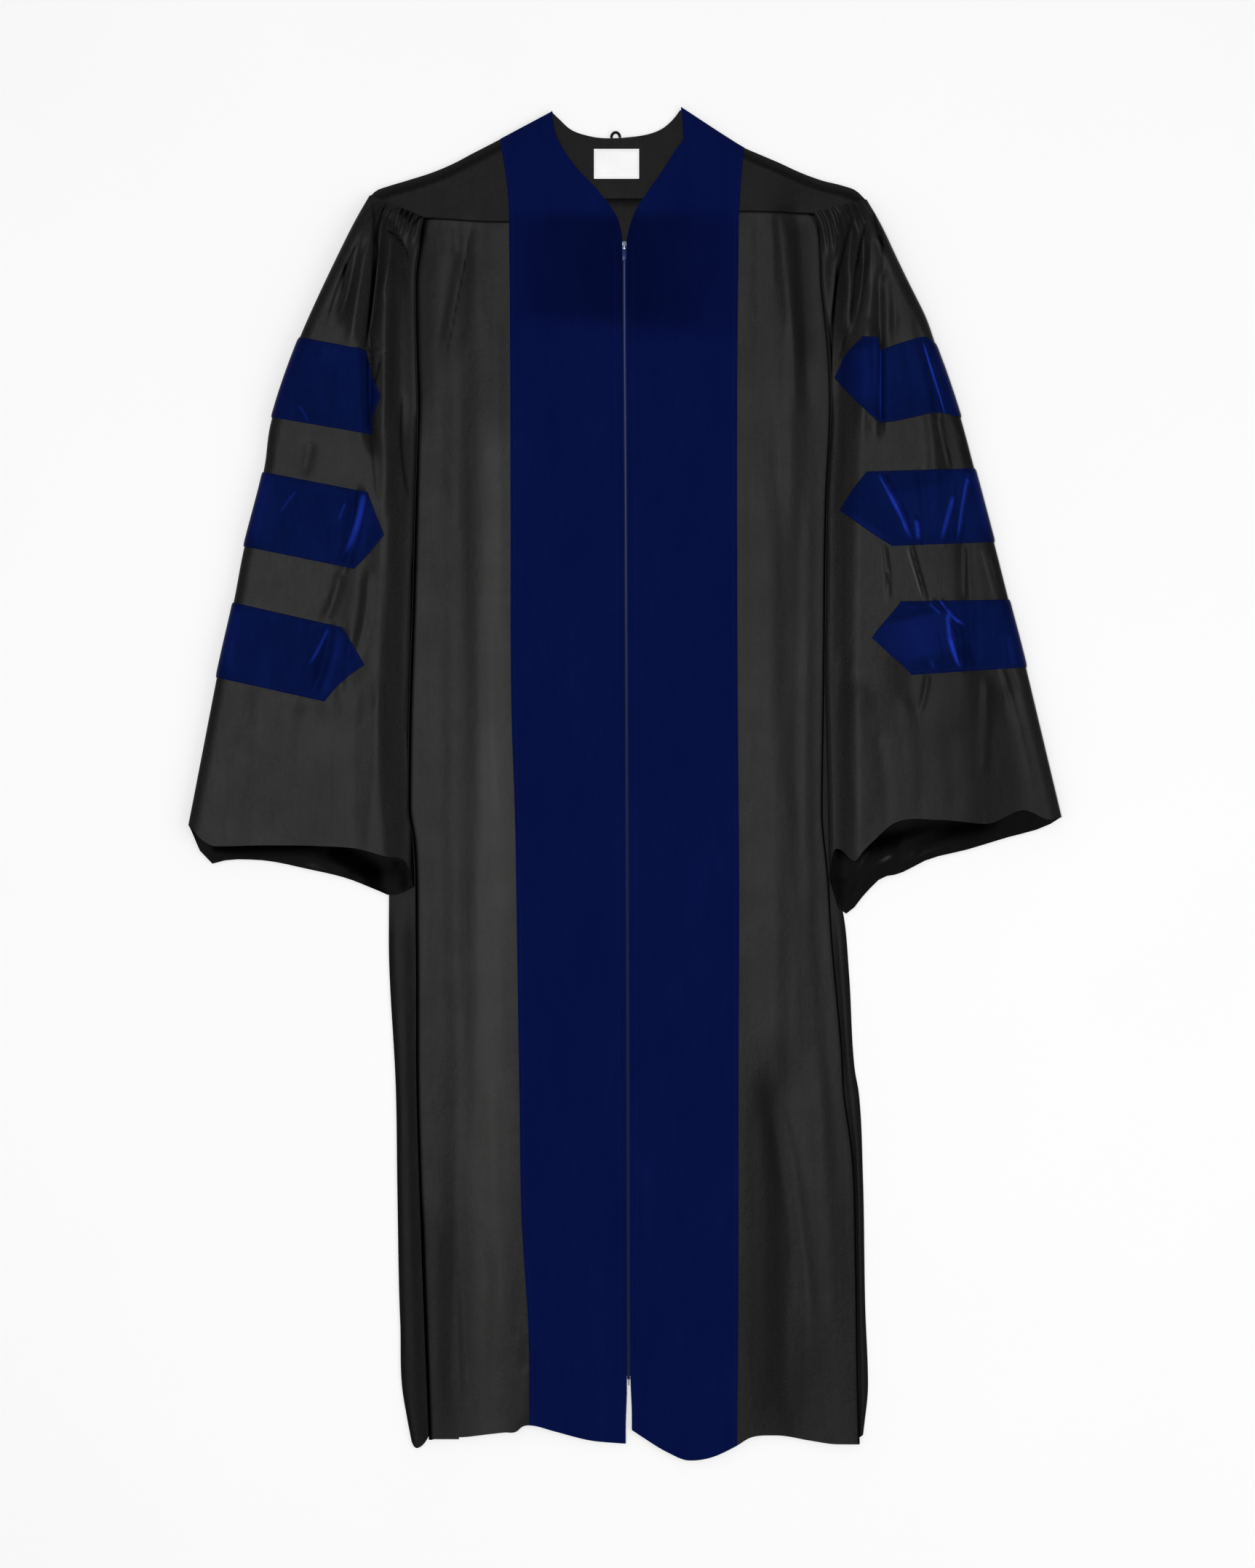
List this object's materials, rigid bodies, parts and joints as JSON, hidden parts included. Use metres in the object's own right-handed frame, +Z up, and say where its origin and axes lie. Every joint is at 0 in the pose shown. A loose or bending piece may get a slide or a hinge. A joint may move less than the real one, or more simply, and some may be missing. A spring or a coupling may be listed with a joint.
{
  "type": "graduation gown laid flat",
  "caption": "Doctoral graduation gown laid flat on its back, zipped up the front, with velvet front bands and pointed velvet bars on bell sleeves.",
  "frame": {"origin": "centre of the box's base: on the surface that the gown lies on, midway across and midway from neck point to hem", "axes": "+Y towards the neck, +X towards the wearer's left sleeve, +Z up off the surface"},
  "size_m": [0.8901, 1.381, 0.0211],
  "materials": {
    "gown_cloth": "black matt woven gown cloth with a faint sheen",
    "blue_velvet": "royal blue cotton velvet with a short pile",
    "zip_coil": "blue nylon coil",
    "zip_metal": "blue enamel over zinc, worn bright at the edges",
    "label_satin": "white satin ribbon, bare"
  },
  "bodies": {
    "gown": {"back_yoke": "gown_cloth", "back_panel": "gown_cloth", "front_yoke_left": "gown_cloth", "front_yoke_right": "gown_cloth", "front_panel_left": "gown_cloth", "front_panel_right": "gown_cloth", "velvet_front_left": "blue_velvet", "velvet_front_right": "blue_velvet", "sleeve_left": "gown_cloth", "sleeve_right": "gown_cloth", "velvet_bar_left_1": "blue_velvet", "velvet_bar_left_2": "blue_velvet", "velvet_bar_left_3": "blue_velvet", "velvet_bar_right_1": "blue_velvet", "velvet_bar_right_2": "blue_velvet", "velvet_bar_right_3": "blue_velvet", "zip_teeth_left": "zip_coil", "zip_teeth_right": "zip_coil", "zip_slider": "zip_metal", "neck_label": "label_satin", "hanger_loop": "gown_cloth"},
    "zip_pull": {"zip_pull": "zip_metal"}
  },
  "joints": [
    {"name": "zip_pull_hinge", "type": "hinge", "parent": "gown", "child": "zip_pull", "pos_m": [-0.0007, 0.54835, 0.0071], "axis": [-1, 0, 0], "range_deg": [0, 165]}
  ]
}
